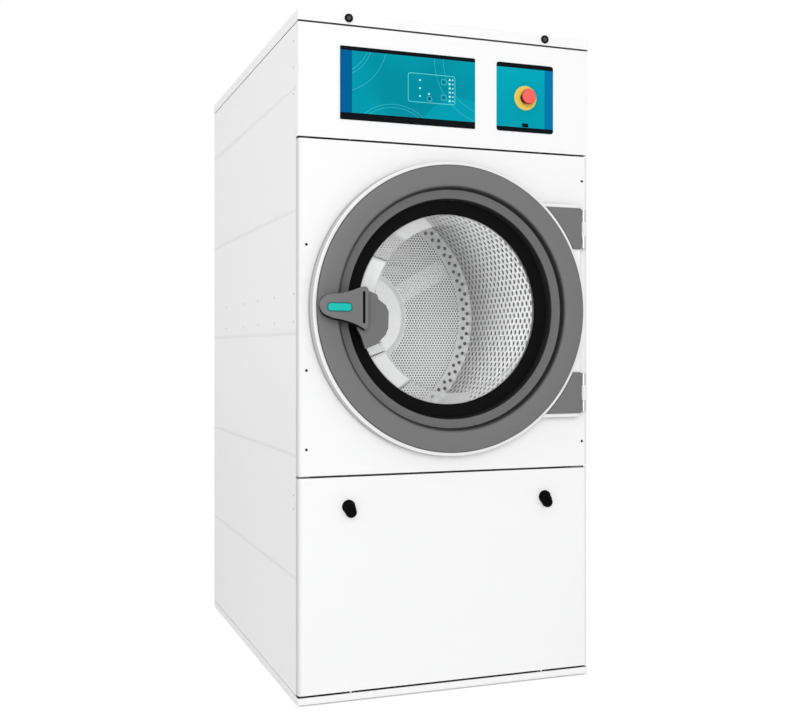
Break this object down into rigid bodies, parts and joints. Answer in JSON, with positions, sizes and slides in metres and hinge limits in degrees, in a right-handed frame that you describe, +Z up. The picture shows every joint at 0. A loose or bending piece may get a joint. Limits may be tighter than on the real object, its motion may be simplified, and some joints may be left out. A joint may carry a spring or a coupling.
{
  "type": "industrial tumble dryer",
  "caption": "Free-standing industrial tumble dryer: white cabinet, round domed glass door with lever, perforated drum, belt drive, heater, lint chamber and exhaust fan.",
  "frame": {"origin": "on the floor, under the centre of the bounding box", "axes": "+X to the viewer's right facing the door, +Y from the door to the back, +Z up"},
  "size_m": [0.795, 1.272, 1.694],
  "materials": {
    "white_enamel": "satin white powder coat",
    "galvanised": "galvanised sheet",
    "stainless": "bright stainless",
    "steel": "machined steel",
    "cast": "painted casting",
    "motor_paint": "grey blue motor paint",
    "grey_moulding": "fine grained moulding",
    "dark_moulding": "fine grained moulding",
    "black_plastic": "moulded",
    "black_rubber": "smooth rubber",
    "felt": "pressed felt",
    "clear_glass": "polished",
    "teal_foil": "printed foil under gloss",
    "turquoise": "gloss",
    "yellow": "gloss",
    "red": "gloss",
    "board_green": "circuit board",
    "heating_tube": "heat tinted",
    "filter_mesh": "fine mesh in a frame",
    "zinc": "zinc plated"
  },
  "bodies": {
    "cabinet": {"base_frame": "white_enamel", "levelling_feet": "zinc", "frame_members": "galvanised", "left_side_panel": "white_enamel", "right_side_panel": "white_enamel", "rear_panel": "white_enamel", "top_cover": "white_enamel", "control_panel": "white_enamel", "panel_windows": "teal_foil", "keypad_board": "board_green", "stop_collar": "yellow", "door_panel": "white_enamel", "front_bulkhead": "galvanised", "felt_seal": "felt", "rear_bulkhead": "galvanised", "bearing_housing": "cast", "shaft_bearings": "steel", "heater_box": "galvanised", "heater_elements": "heating_tube", "lint_chamber": "galvanised", "lint_filter": "filter_mesh", "fan_housing": "galvanised", "fan_motor": "motor_paint", "exhaust_duct": "galvanised", "exhaust_spigot": "galvanised", "drum_motor": "motor_paint", "drive_belt": "black_rubber", "electrical_box": "galvanised", "cable_gland": "black_plastic", "hinge_brackets": "steel", "door_catch": "galvanised", "case_screws": "black_plastic"},
    "door": {"door_pan": "white_enamel", "door_ring": "grey_moulding", "hinge_covers": "dark_moulding", "hinge_leaves": "steel", "glass_gasket": "black_rubber", "door_glass": "clear_glass", "door_liner": "galvanised", "door_seal": "black_rubber", "handle_housing": "dark_moulding"},
    "lever": {"handle_lever": "dark_moulding", "lever_badge": "turquoise"},
    "drum": {"drum_shell": "stainless", "drum_back": "stainless", "drum_lifters": "stainless", "drum_shaft": "steel", "drum_pulley": "cast"},
    "motor_drive": {"motor_pulley": "cast"},
    "fan": {"fan_impeller": "galvanised"},
    "stop_button": {"stop_stem": "black_plastic"},
    "stop_cap": {"stop_head": "red"},
    "left_lock": {"left_cover_lock": "black_plastic"},
    "right_lock": {"right_cover_lock": "black_plastic"},
    "service_door": {"service_panel": "white_enamel"},
    "left_latch": {"left_service_latch": "black_plastic"},
    "right_latch": {"right_service_latch": "black_plastic"},
    "start": {"start_key": "teal_foil"},
    "up": {"up_key": "teal_foil"},
    "down": {"down_key": "teal_foil"}
  },
  "joints": [
    {"name": "door_swing", "type": "hinge", "parent": "cabinet", "child": "door", "pos_m": [0.372, -0.581, 0.96975], "axis": [0, 0, 1], "range_deg": [0, 160]},
    {"name": "lever_pull", "type": "hinge", "parent": "door", "child": "lever", "pos_m": [-0.244, -0.621, 0.96775], "axis": [0, 0, 1], "range_deg": [0, 30], "stiffness_Nm_per_rad": 2},
    {"name": "drum_spin", "type": "hinge", "parent": "cabinet", "child": "drum", "pos_m": [0, -0.159, 0.96975], "axis": [0, 1, 0], "continuous": true},
    {"name": "motor_spin", "type": "hinge", "parent": "cabinet", "child": "motor_drive", "pos_m": [0.23, 0.371, 0.64], "axis": [0, 1, 0], "continuous": true},
    {"name": "fan_spin", "type": "hinge", "parent": "cabinet", "child": "fan", "pos_m": [-0.06, 0.091, 0.3], "axis": [0, 1, 0], "continuous": true},
    {"name": "stop_push", "type": "slide", "parent": "cabinet", "child": "stop_button", "axis": [0, 1, 0], "range_m": [0, 0.004]},
    {"name": "stop_twist", "type": "hinge", "parent": "stop_button", "child": "stop_cap", "pos_m": [0.2121, -0.579, 1.524], "axis": [0, 1, 0], "range_deg": [0, 40], "stiffness_Nm_per_rad": 0.02},
    {"name": "left_lock_turn", "type": "hinge", "parent": "cabinet", "child": "left_lock", "pos_m": [-0.269, -0.559, 1.683], "axis": [0, 1, 0], "range_deg": [0, 90]},
    {"name": "right_lock_turn", "type": "hinge", "parent": "cabinet", "child": "right_lock", "pos_m": [0.269, -0.559, 1.683], "axis": [0, -1, 0], "range_deg": [0, 90]},
    {"name": "service_tilt", "type": "hinge", "parent": "cabinet", "child": "service_door", "pos_m": [0, -0.553, 0.02155], "axis": [1, 0, 0], "range_deg": [0, 45]},
    {"name": "left_latch_turn", "type": "hinge", "parent": "service_door", "child": "left_latch", "pos_m": [-0.269, -0.559, 0.481], "axis": [0, -1, 0], "range_deg": [0, 90]},
    {"name": "right_latch_turn", "type": "hinge", "parent": "service_door", "child": "right_latch", "pos_m": [0.269, -0.559, 0.481], "axis": [0, 1, 0], "range_deg": [0, 90]},
    {"name": "start_press", "type": "slide", "parent": "cabinet", "child": "start", "axis": [0, 1, 0], "range_m": [0, 0.0008], "stiffness_N_per_m": 150},
    {"name": "up_press", "type": "slide", "parent": "cabinet", "child": "up", "axis": [0, 1, 0], "range_m": [0, 0.0008], "stiffness_N_per_m": 150},
    {"name": "down_press", "type": "slide", "parent": "cabinet", "child": "down", "axis": [0, 1, 0], "range_m": [0, 0.0008], "stiffness_N_per_m": 150}
  ],
  "couplings": [
    {"joint": "motor_spin", "follows": "drum_spin", "ratio": 6}
  ]
}
